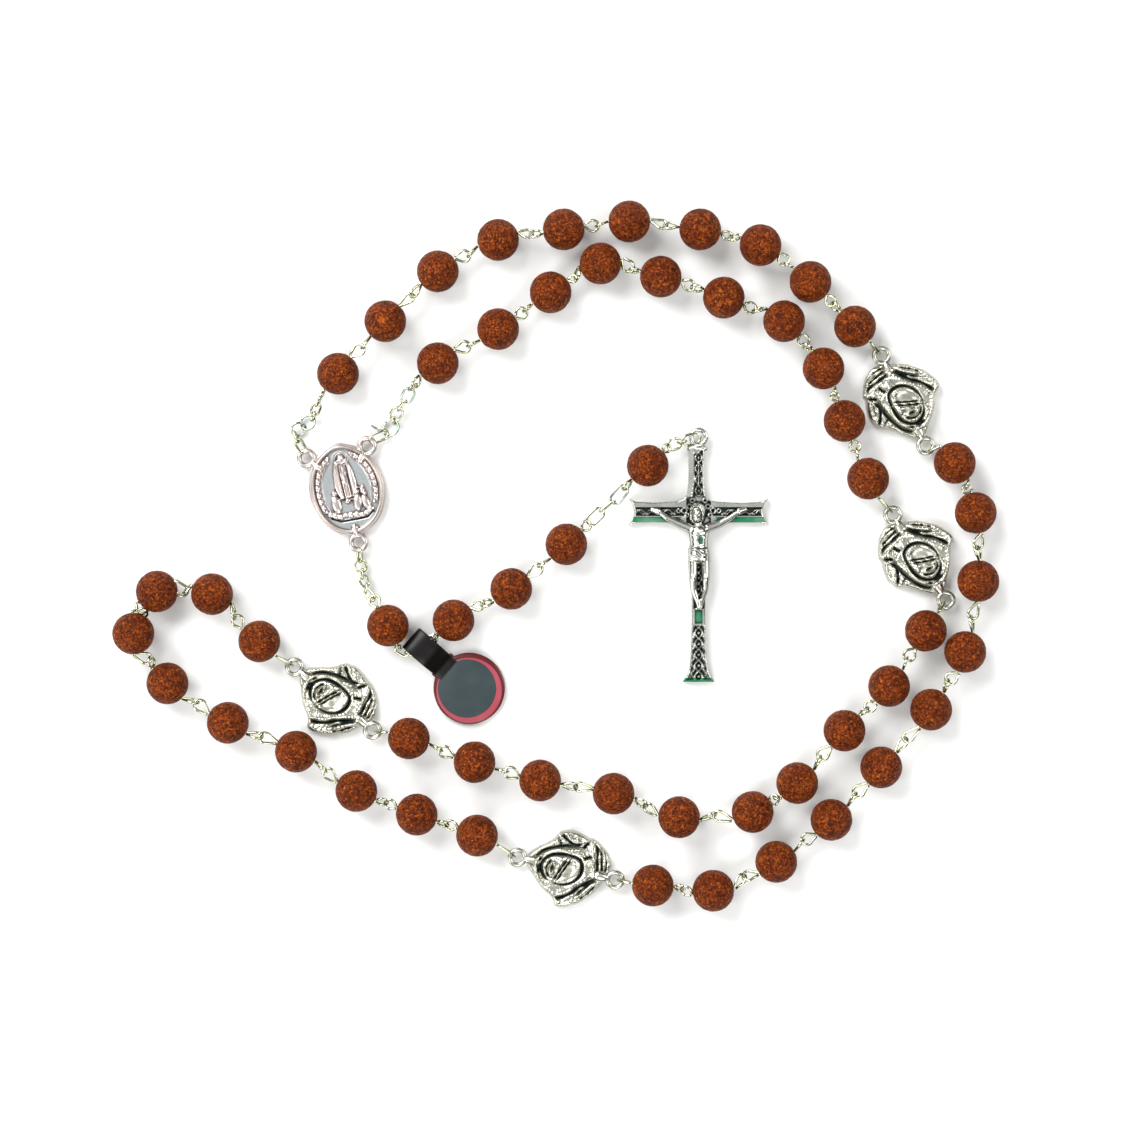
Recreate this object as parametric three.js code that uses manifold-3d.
// A five-decade rosary lying flat: bead chain, four cast roses, centre medal, pendant, crucifix
// and a swing tag. Units are millimetres, +Z is up. The origin is the middle of the medal's back
// face, and everything lies on the plane z = 0.
import * as THREE from 'three';
import { mergeVertices } from 'three/addons/utils/BufferGeometryUtils.js';
import Module from 'manifold-3d';

const wasm = await Module();
wasm.setup();

// ---- Driving dimensions ---------------------------------------------------------------------
const BEAD_RADIUS = 4;
const WIRE_RADIUS = 0.3;
const EYE_RADIUS = 1.1; // centre line of a loop or link end
const GRIP_SHARE = 0.42; // how far along the gap between two pieces, from the later one, they hinge
const PIN_ROOT = 2.4; // how far from the bead's centre its wires are anchored
const CAST_RING_RADIUS = 1.42; // centre line of a cast ring or lug
const CAST_RING_WIRE = 0.48;
const CAST_RING_HEIGHT = 1.8; // middle of a cast ring above the table
const HANGER_RADIUS = 1.35; // centre line of the wire loop round a cast ring
const FREE_GRIP = 5.2; // bead centre to the middle of a loop end that holds nothing
const FIT_GAP = 0.3;

const MEDAL_HALF_WIDTH = 7.2;
const MEDAL_HALF_HEIGHT = 8.8;
const MEDAL_THICKNESS = 2.3;
const MEDAL_RIM = 0.9;
const MEDAL_RECESS = 0.6;
const MEDAL_TILT = THREE.MathUtils.degToRad(13.5);
const MEDAL_LUGS = { left: [-6.1, 7.6], right: [5.75, 7.2], bottom: [-0.2, -10.4] };

const ROSE_RING_REACH = 9.6; // rose middle to the middle of either end ring
const ROSE_HEIGHT = 4.2;

const CROSS_JUNCTION = [67.3, -4.4];
const CROSS_THICKNESS = 2;
const CROSS_EYE_REACH = 14.4; // junction to the middle of the eye
const CORPUS_LIFT = CROSS_THICKNESS + FIT_GAP;

const TAG_RADIUS = 6.85;
const TAG_THICKNESS = 1.2;
const TAG_CROSSING = [14.7, -30.4, 2.3]; // where the chain passes through the strap
const TAG_HEADING = -41.5; // degrees, from the strap's fold to the disc
const STRAP_WIDTH = 4.8;
const STRAP_HEIGHT = 5;
const STRAP_WALL = 0.4;
const STRAP_REACH = 11.6; // crossing to the middle of the disc

// ---- How the strand lies --------------------------------------------------------------------
// Bead centres in plan. Each decade is listed in its order round the loop, starting from the
// medal's left lug and ending at its right lug.
const DECADES = [
  [[-1.5, 22], [7.5, 32], [17.5, 41.5], [29, 47.5], [41.5, 49.5],
    [54, 51], [67.5, 49.5], [79, 46.5], [88.5, 39.5], [97, 31]],
  [[116, 5], [120, -4.5], [120.5, -17.5], [118, -31], [111.5, -42],
    [102, -53], [92.5, -63], [82, -71], [70, -76.5], [58.5, -75.5]],
  [[25, -66], [13.5, -62], [2, -57.5], [-9.5, -50], [-22.5, -44.5],
    [-34, -37], [-40.5, -27.5], [-36, -19.5], [-25.5, -20], [-16.5, -29]],
  [[12, -47.5], [24.5, -52], [37, -55.5], [51, -58], [63.5, -62.5],
    [77.5, -61.5], [86, -56], [95, -46], [103.5, -37.5], [110.5, -27]],
  [[99.5, 2], [95, 13], [91, 23], [83.5, 32], [72, 36.5],
    [60, 40.5], [48.5, 43], [39, 37.5], [29, 30.5], [17.5, 24]],
];
const ROSES = [ // middle, and heading of the bud end in degrees
  { at: [106.5, 17], heading: -64 },
  { at: [42, -72.5], heading: 167 },
  { at: [-2.5, -40], heading: 141 },
  { at: [109.5, -13], heading: -58 },
];
const PENDANT = [[8, -26], [20.5, -25], [31.5, -19], [42, -10.5], [57.5, 4.5]];
// Runs of neighbouring beads that share one node with the links between them.
const JOINED_RUNS = [[2, 1, 2], [3, 7, 9], [4, 6, 7], [5, 2, 3]]; // decade, first bead, last bead

// Link ends of the longer chains, x, y and z
const LEFT_CHAIN = [[-9.6, 10.4, 1.8], [-8.6, 13.2, 2], [-6.4, 15.2, 2.6]];
const RIGHT_CHAIN = [[5.6, 10.6, 1.8], [7.2, 13.2, 2], [9.2, 15.6, 2.4], [11.2, 18, 3]];
const LOWER_CHAIN = [[2.7, -14.2, 1.8], [3.5, -17.2, 2.2], [4.4, -20, 3]];
const TAG_CHAIN = [[9.9, -31.4, 2.6], [12.4, -32.2, 2.2]];
const MIDDLE_CHAIN = [[46.4, -6.3, 3.6], [48.8, -4, 3.4], [51.2, -1.6, 3.4]];
const CROSS_CHAIN = [[63.2, 9, 2.6]];

// ---- Solids ---------------------------------------------------------------------------------
const UP = new THREE.Vector3(0, 0, 1);
const flatPoint = ([x, y, z = BEAD_RADIUS]) => new THREE.Vector3(x, y, z);
const heading = (degrees) => {
  const angle = THREE.MathUtils.degToRad(degrees);
  return new THREE.Vector3(Math.cos(angle), Math.sin(angle), 0);
};
const toward = (a, b) => b.clone().sub(a).setZ(0).normalize();

function solid(geometry) {
  const bare = geometry.index ? geometry.toNonIndexed() : geometry.clone();
  bare.deleteAttribute('normal');
  bare.deleteAttribute('uv');
  const merged = mergeVertices(bare, 1e-4);
  return new wasm.Manifold(new wasm.Mesh({
    numProp: 3,
    vertProperties: new Float32Array(merged.attributes.position.array),
    triVerts: new Uint32Array(merged.index.array),
  }));
}

const join = (solids) => solids.reduce((whole, next) => whole.add(next));

function toGeometry(manifold) {
  const mesh = manifold.getMesh();
  const geometry = new THREE.BufferGeometry();
  geometry.setAttribute('position', new THREE.BufferAttribute(mesh.vertProperties, mesh.numProp));
  geometry.setIndex(new THREE.BufferAttribute(mesh.triVerts, 1));
  geometry.computeVertexNormals();
  return geometry;
}

function ellipsoid(centre, radii, turn = 0, across = 8, down = 4) {
  const geometry = new THREE.SphereGeometry(1, across, down);
  geometry.rotateX(Math.PI / 2).scale(...radii).rotateZ(turn).translate(...centre);
  return solid(geometry);
}

function rod(from, to, fromRadius, toRadius = fromRadius, sides = 5) {
  const reach = to.clone().sub(from);
  const geometry = new THREE.CylinderGeometry(toRadius, fromRadius, reach.length(), sides);
  const spin = new THREE.Quaternion().setFromUnitVectors(
    new THREE.Vector3(0, 1, 0), reach.clone().normalize());
  const middle = from.clone().add(to).multiplyScalar(0.5);
  geometry.applyQuaternion(spin).translate(middle.x, middle.y, middle.z);
  return solid(geometry);
}

// An oval wire link whose end wires are centred on two points. An upright link stands on edge.
function link(from, to, radius = EYE_RADIUS, upright = false) {
  const along = to.clone().sub(from);
  const stretch = Math.max(along.length() / 2 - radius, 0);
  along.normalize();
  const side = new THREE.Vector3().crossVectors(UP, along).normalize();
  const lift = new THREE.Vector3().crossVectors(along, side);
  const geometry = new THREE.TorusGeometry(radius, WIRE_RADIUS, 4, 6);
  const points = geometry.attributes.position;
  for (let i = 0; i < points.count; i += 1) {
    points.setX(i, points.getX(i) + Math.sign(points.getX(i)) * stretch);
  }
  const frame = new THREE.Matrix4().makeBasis(
    along, upright ? lift : side, upright ? side.clone().negate() : lift);
  frame.setPosition(from.clone().add(to).multiplyScalar(0.5));
  return solid(geometry.applyMatrix4(frame));
}

function castRing(centre) {
  const geometry = new THREE.TorusGeometry(CAST_RING_RADIUS, CAST_RING_WIRE, 4, 8);
  return solid(geometry.translate(centre.x, centre.y, centre.z));
}

function bead(centre) {
  return ellipsoid([centre.x, centre.y, centre.z], [BEAD_RADIUS, BEAD_RADIUS, BEAD_RADIUS]);
}

// ---- Scene graph ----------------------------------------------------------------------------
const rosary = new THREE.Group();
const finish = {
  bead: { color: 0x7a3b1c, roughness: 0.55, metalness: 0 },
  wire: { color: 0xd9dccb, roughness: 0.25, metalness: 1 },
  casting: { color: 0xc9c7bf, roughness: 0.35, metalness: 1 },
  corpus: { color: 0xdad8d0, roughness: 0.3, metalness: 1 },
  tag: { color: 0xc45868, roughness: 0.35, metalness: 0 },
};
const joints = []; // each hinge: the node that turns, the node that holds it, its point and axis

function place(name, solids, centre, material) {
  const geometry = toGeometry(join(solids));
  geometry.translate(-centre.x, -centre.y, -centre.z);
  const mesh = new THREE.Mesh(geometry, new THREE.MeshStandardMaterial(finish[material]));
  mesh.name = name;
  mesh.position.copy(centre);
  rosary.add(mesh);
}

function hinge(child, parent, point, axis) {
  joints.push({ child, parent, point: point.toArray(), axis: axis.toArray() });
}

// The point where a wire loop holds a cast ring, on the ring's side facing the given direction.
const ringGrip = (ring, facing) => ring.clone().addScaledVector(facing, CAST_RING_RADIUS);

// ---- Centre medal ---------------------------------------------------------------------------
function medalPoint([x, y], z = 0) {
  return new THREE.Vector3(x, y, z).applyAxisAngle(UP, MEDAL_TILT);
}

function ovalPlate(halfWidth, halfHeight, bottom, top) {
  const geometry = new THREE.CylinderGeometry(1, 1, top - bottom, 20);
  geometry.rotateX(Math.PI / 2).scale(halfWidth, halfHeight, 1);
  return solid(geometry.rotateZ(MEDAL_TILT).translate(0, 0, (bottom + top) / 2));
}

const lug = Object.fromEntries(Object.entries(MEDAL_LUGS).map(
  ([name, at]) => [name, medalPoint(at, CAST_RING_HEIGHT)]));
const medalFloor = MEDAL_THICKNESS - MEDAL_RECESS;
const medalBody = ovalPlate(MEDAL_HALF_WIDTH, MEDAL_HALF_HEIGHT, 0, MEDAL_THICKNESS)
  .subtract(ovalPlate(MEDAL_HALF_WIDTH - MEDAL_RIM, MEDAL_HALF_HEIGHT - MEDAL_RIM, medalFloor, 4));
const robe = rod(medalPoint([0, -4.5], medalFloor), medalPoint([0, 3.6], medalFloor), 2, 1.1, 8);
const veil = ellipsoid(medalPoint([0, 4.6], medalFloor).toArray(), [1.2, 1.4, 0.9], MEDAL_TILT);
const ground = ellipsoid(medalPoint([0, -5.2], medalFloor).toArray(), [4.2, 1.4, 0.7], MEDAL_TILT);
const belowTable = solid(new THREE.BoxGeometry(60, 60, 20).translate(0, 0, -10));
place('medal', [medalBody, robe.subtract(belowTable), veil, ground,
  ...Object.values(lug).map(castRing)], new THREE.Vector3(), 'casting');

// ---- Cast roses -----------------------------------------------------------------------------
const roseRings = ({ at, heading: angle }) => {
  const middle = flatPoint([...at, CAST_RING_HEIGHT]);
  const axis = heading(angle);
  return {
    bud: middle.clone().addScaledVector(axis, ROSE_RING_REACH),
    leaf: middle.clone().addScaledVector(axis, -ROSE_RING_REACH),
  };
};

function rose(name, where) {
  const rings = roseRings(where);
  const middle = flatPoint([...where.at, CAST_RING_HEIGHT]);
  const neck = (ring) => rod(ring.clone().lerp(middle, 0.16), ring.clone().lerp(middle, 0.36),
    0.7, 1.2, 5);
  const parts = [
    ellipsoid([1.4, 0, 0.9], [6.2, 6, 2.6], 0, 10),
    ellipsoid([0.6, 4.2, 0.6], [6, 3.4, 1.8], 0.2),
    ellipsoid([0.6, -4.2, 0.6], [6, 3.4, 1.8], -0.2),
    ellipsoid([-4.6, 4, 0.5], [3.4, 2.2, 1.2], -0.9, 6),
    ellipsoid([-4.6, -4, 0.5], [3.4, 2.2, 1.2], 0.9, 6),
    ellipsoid([-5, 0, 0.7], [3, 2.6, 1.4], 0, 6),
    ellipsoid([2.4, 0, 2.6], [3.2, 3.2, ROSE_HEIGHT - 2.6], 0, 6),
  ];
  const turn = THREE.MathUtils.degToRad(where.heading);
  const frame = new THREE.Matrix4().makeRotationZ(turn).setPosition(...where.at, 0);
  const body = join(parts).subtract(belowTable).transform(frame.toArray());
  place(name, [body, neck(rings.bud), neck(rings.leaf), castRing(rings.bud), castRing(rings.leaf)],
    flatPoint([...where.at, 0]), 'casting');
}

// ---- The strand -----------------------------------------------------------------------------
// A run is a row of stations from the medal outwards. A station is a bead (or joined beads) with
// its wires, a bare chain, or a casting with an entry ring and an exit ring.
const beadName = (decade, number) => `decade_${decade}_bead_${String(number).padStart(2, '0')}`;

function decadeStations(decade) {
  const stations = [];
  for (let number = 1; number <= DECADES[decade - 1].length; number += 1) {
    const centre = flatPoint(DECADES[decade - 1][number - 1]);
    const run = JOINED_RUNS.find(
      ([within, first, last]) => within === decade && number >= first && number <= last);
    if (run && number > run[1]) {
      stations.at(-1).centres.push(centre);
    } else {
      const name = run ? `decade_${decade}_beads_${run[1]}_to_${run[2]}` : beadName(decade, number);
      stations.push({ name, centres: [centre] });
    }
  }
  return stations;
}

function reversed(stations) {
  stations.forEach((station) => station.centres.reverse());
  return stations.reverse();
}

// Seen from the medal, every rose is entered at its leaf end.
function roseStation(number) {
  const where = ROSES[number - 1];
  const rings = roseRings(where);
  return { name: `rose_${number}`, rose: where, entry: rings.leaf, exit: rings.bud };
}

const isCasting = (station) => Boolean(station.entry);
const entryPoint = (station) => station.entry ?? (station.lead ?? station.centres)[0];
const exitPoint = (station) => station.exit
  ?? (station.tail ?? station.centres ?? station.lead).at(-1);

// Where the wires that leave a bead towards a point are anchored inside it.
const beadWire = (centre, point) => centre.clone().addScaledVector(toward(centre, point), PIN_ROOT);

// First pass: the point that each station reaches back to and ahead to, and its hinge point.
function findHinges(parent, ring, stations, openEnd) {
  stations.forEach((station, index) => {
    const previous = stations[index - 1];
    const heldByRing = previous ? previous.exit : ring;
    const before = previous ? exitPoint(previous) : ring;
    const after = index + 1 < stations.length ? entryPoint(stations[index + 1]) : openEnd;
    station.back = station.lead && station.centres ? station.lead.at(-1) : before;
    station.ahead = station.tail ? station.tail[0] : after;
    const along = toward(before, entryPoint(station));
    if (station.swings) {
      station.grip = station.entry.clone();
    } else if (isCasting(station)) {
      station.grip = ringGrip(station.entry, toward(station.entry, before));
    } else if (heldByRing) {
      station.grip = ringGrip(heldByRing, along);
    } else {
      const room = before.clone().sub(station.centres[0]).setZ(0).length() - BEAD_RADIUS
        - (previous.tail || !previous.centres ? 0 : BEAD_RADIUS);
      station.grip = station.centres[0].clone()
        .addScaledVector(along, -BEAD_RADIUS - (station.standoff ?? GRIP_SHARE * room));
      station.grip.z = station.gripHeight ?? BEAD_RADIUS;
    }
    station.ring = heldByRing;
    const axis = station.swings ? UP : new THREE.Vector3().crossVectors(along, UP);
    hinge(station.name, previous ? previous.name : parent, station.grip, axis);
  });
}

// The upright loop of a bead's pin. Its outer end is centred on the point that it hinges about.
function loop(centre, grip) {
  const tip = grip.clone().addScaledVector(toward(centre, grip), EYE_RADIUS);
  return link(beadWire(centre, grip), tip, EYE_RADIUS, true);
}

// Wire links through a row of points, alternately flat and upright, the last one as asked.
function chainLinks(points, lastUpright, lastRadius) {
  const count = points.length - 1;
  return points.slice(1).map((point, i) => {
    const isLast = i === count - 1;
    const upright = (count - 1 - i) % 2 === 0 ? lastUpright : !lastUpright;
    return link(points[i], point, isLast ? lastRadius : EYE_RADIUS, upright);
  });
}

// The far end of a hanger that comes from a point and is centred on its grip.
const beyond = (grip, from) => grip.clone()
  .addScaledVector(grip.clone().sub(from).normalize(), HANGER_RADIUS);

// The wires from the last bead or chain point of a station to the grip of the next one.
function exitWires(row, next) {
  if (isCasting(next)) {
    const end = next.swings ? next.entry : beyond(next.grip, row.at(-1));
    return chainLinks([...row, end], true, HANGER_RADIUS);
  }
  return chainLinks([...row, next.grip], false, EYE_RADIUS);
}

// Second pass: each station's solid.
function makeStation(station, next) {
  if (station.rose) {
    rose(station.name, station.rose);
    return;
  }
  const parts = [];
  const { centres = [], lead = [], tail = [], grip, ring, back, ahead } = station;
  parts.push(...centres.map(bead));
  for (let i = 1; i < centres.length; i += 1) {
    parts.push(link(beadWire(centres[i - 1], centres[i]), beadWire(centres[i], centres[i - 1])));
  }
  const start = centres.length ? [beadWire(centres[0], back)] : [];
  if (ring) {
    const inward = [...start, ...[...lead].reverse()];
    parts.push(...chainLinks([...inward, beyond(grip, inward.at(-1))], true, HANGER_RADIUS));
  } else {
    parts.push(loop(centres[0], grip));
  }
  const row = centres.length ? [beadWire(centres.at(-1), ahead), ...tail] : [lead.at(-1)];
  if (next) {
    parts.push(...exitWires(row, next));
  } else {
    const along = toward(centres.at(-1), ahead);
    parts.push(loop(centres.at(-1), centres.at(-1).clone().addScaledVector(along, FREE_GRIP)));
  }
  place(station.name, parts, centres[0] ?? lead[0], centres.length ? 'bead' : 'wire');
}

function layRun(parent, ring, stations, openEnd) {
  findHinges(parent, ring, stations, openEnd);
  stations.filter((station) => !station.swings)
    .forEach((station) => makeStation(station, stations[stations.indexOf(station) + 1]));
}

const closing = decadeStations(3); // the loop is open between beads 5 and 6 of the third decade
const outerHalf = closing.slice(0, 5);
const innerHalf = closing.slice(5);
const openAhead = exitPoint(innerHalf[0]);
const openBehind = exitPoint(outerHalf[4]);

layRun('medal', lug.left, [
  { name: 'chain_left', lead: LEFT_CHAIN.map(flatPoint) },
  ...decadeStations(1), roseStation(1),
  ...decadeStations(2), roseStation(2),
  ...outerHalf,
], openAhead);

layRun('medal', lug.right, [
  { name: 'chain_right', lead: RIGHT_CHAIN.map(flatPoint) },
  ...reversed(decadeStations(5)), roseStation(4),
  ...reversed(decadeStations(4)), roseStation(3),
  ...reversed(innerHalf),
], openBehind);

// ---- Crucifix -------------------------------------------------------------------------------
const crossPoint = (x, y, z = 0) => new THREE.Vector3(
  CROSS_JUNCTION[0] + x, CROSS_JUNCTION[1] + y, z);
const crossEye = crossPoint(0, CROSS_EYE_REACH, CAST_RING_HEIGHT);

const pendantStations = PENDANT.map(
  (at, i) => ({ name: `pendant_bead_${i + 1}`, centres: [flatPoint(at)] }));
pendantStations[0].lead = LOWER_CHAIN.map(flatPoint);
pendantStations[0].tail = TAG_CHAIN.map(flatPoint);
pendantStations[1].gripHeight = 3; // its loop is short and low, to pass under the tag's strap
pendantStations[1].standoff = 0.8;
pendantStations[3].tail = MIDDLE_CHAIN.map(flatPoint);
pendantStations[4].tail = CROSS_CHAIN.map(flatPoint);
layRun('medal', lug.bottom,
  [...pendantStations, { name: 'crucifix', entry: crossEye, swings: true }]);

function crossOutline() {
  const shape = new THREE.Shape();
  const side = (s) => { // one side of the cross, from its top (s = 1, right) or its foot (s = -1)
    const run = [
      ['line', 1.6, 12.4], ['line', 1.6, 5.4], ['curve', 2.2, 1.6, 6, 1.5], ['line', 13.2, 2.5],
      ['curve', 11.6, 0, 13.2, -2.5], ['line', 7, -1.9], ['curve', 2.4, -2.2, 1.8, -6],
      ['line', 1.4, -17], ['line', 1.7, -29], ['curve', 2, -31, 2.9, -32.4],
    ];
    return run.map(([kind, ...numbers]) => [kind, ...numbers.map((n, i) => (i % 2 ? n : n * s))]);
  };
  side(1).forEach(([kind, ...numbers], i) => {
    if (i === 0) {
      shape.moveTo(...numbers);
    } else if (kind === 'line') {
      shape.lineTo(...numbers);
    } else {
      shape.quadraticCurveTo(...numbers);
    }
  });
  const left = side(-1).reverse();
  shape.lineTo(...left[0].slice(-2));
  left.slice(1).forEach(([, ...numbers], i) => {
    const bend = left[i];
    if (bend[0] === 'curve') {
      shape.quadraticCurveTo(bend[1], bend[2], ...numbers.slice(-2));
    } else {
      shape.lineTo(...numbers.slice(-2));
    }
  });
  return shape;
}

function panel(width, height, x, y) {
  const depth = 0.4;
  return solid(new THREE.BoxGeometry(width, height, depth * 2)
    .translate(CROSS_JUNCTION[0] + x, CROSS_JUNCTION[1] + y, CROSS_THICKNESS));
}

const crossPlate = solid(new THREE.ExtrudeGeometry(crossOutline(),
  { depth: CROSS_THICKNESS, bevelEnabled: false, curveSegments: 4 })
  .translate(...CROSS_JUNCTION, 0));
const panels = join([panel(1.8, 7, 0, 7.6), panel(5, 2.2, -8.8, 0), panel(5, 2.2, 8.8, 0),
  panel(1.8, 8.6, 0, -24.4)]);
const collar = solid(new THREE.BoxGeometry(3.6, 1, 2.6).translate(...crossPoint(0, 12.2, 1.3).toArray()));
place('crucifix', [crossPlate.subtract(panels), collar, castRing(crossEye)], crossPoint(0, 0), 'casting');

// The figure on the cross: head, trunk, arms, cloth, legs and feet in one casting.
function corpus() {
  const at = (x, y, z) => crossPoint(x, y, CORPUS_LIFT + z);
  const parts = [
    ellipsoid(at(-0.2, -0.6, 1.5).toArray(), [1, 1.3, 1.2], -0.2),
    rod(at(0, -1, 1.1), at(0, -3.4, 0.9), 0.6, 0.9),
    rod(at(0, -2.6, 0.9), at(0, -7.4, 0.8), 1.5, 0.8, 6),
    rod(at(0, -6.6, 0.9), at(0, -10, 0.9), 0.9, 1.7, 6),
  ];
  [-1, 1].forEach((side) => {
    parts.push(rod(at(side * 0.8, -9, 0.9), at(side * 0.6, -14, 1.1), 0.9, 0.6));
    parts.push(rod(at(side * 0.6, -13.6, 1.1), at(side * 0.3, -18, 0.8), 0.7, 0.5));
    parts.push(rod(at(side * 0.9, -3, 0.8), at(side * 4.6, -1.4, 0.6), 0.7, 0.45));
    parts.push(rod(at(side * 4.4, -1.5, 0.6), at(side * 8.4, 0.3, 0.5), 0.5, 0.4));
  });
  const behind = solid(new THREE.BoxGeometry(40, 60, 10)
    .translate(...crossPoint(0, -10, CORPUS_LIFT - 5).toArray()));
  return join(parts).subtract(behind);
}
place('corpus', [corpus()], crossPoint(0, -8, CORPUS_LIFT), 'corpus');

// ---- Swing tag ------------------------------------------------------------------------------
// The strap folds round the chain and both its ends meet in the disc.
function tag() {
  const profile = new THREE.Shape();
  profile.moveTo(-2.2, 0);
  profile.lineTo(6, 0);
  profile.lineTo(6, TAG_THICKNESS);
  profile.lineTo(5, TAG_THICKNESS);
  profile.lineTo(2.4, STRAP_HEIGHT);
  profile.lineTo(-2.2, STRAP_HEIGHT);
  profile.quadraticCurveTo(-3.4, STRAP_HEIGHT / 2, -2.2, 0);
  const inside = new THREE.Path();
  inside.moveTo(-2, STRAP_WALL);
  inside.quadraticCurveTo(-2.9, STRAP_HEIGHT / 2, -2, STRAP_HEIGHT - STRAP_WALL);
  inside.lineTo(2.2, STRAP_HEIGHT - STRAP_WALL);
  inside.lineTo(4.6, TAG_THICKNESS);
  inside.lineTo(4.6, STRAP_WALL);
  inside.closePath();
  profile.holes.push(inside);
  const strap = new THREE.ExtrudeGeometry(profile,
    { depth: STRAP_WIDTH, bevelEnabled: false, curveSegments: 4 });
  strap.translate(0, 0, -STRAP_WIDTH / 2).rotateX(Math.PI / 2);
  const disc = new THREE.CylinderGeometry(TAG_RADIUS, TAG_RADIUS, TAG_THICKNESS, 24);
  disc.rotateX(Math.PI / 2).translate(STRAP_REACH, 0, TAG_THICKNESS / 2);
  const frame = new THREE.Matrix4().makeRotationZ(THREE.MathUtils.degToRad(TAG_HEADING));
  frame.setPosition(TAG_CROSSING[0], TAG_CROSSING[1], 0);
  return solid(strap).add(solid(disc)).transform(frame.toArray());
}
place('tag', [tag()], flatPoint([TAG_CROSSING[0], TAG_CROSSING[1], 0]), 'tag');
hinge('tag', 'pendant_bead_1', flatPoint(TAG_CROSSING), heading(TAG_HEADING + 90).negate());

rosary.userData.joints = joints;

export default rosary;
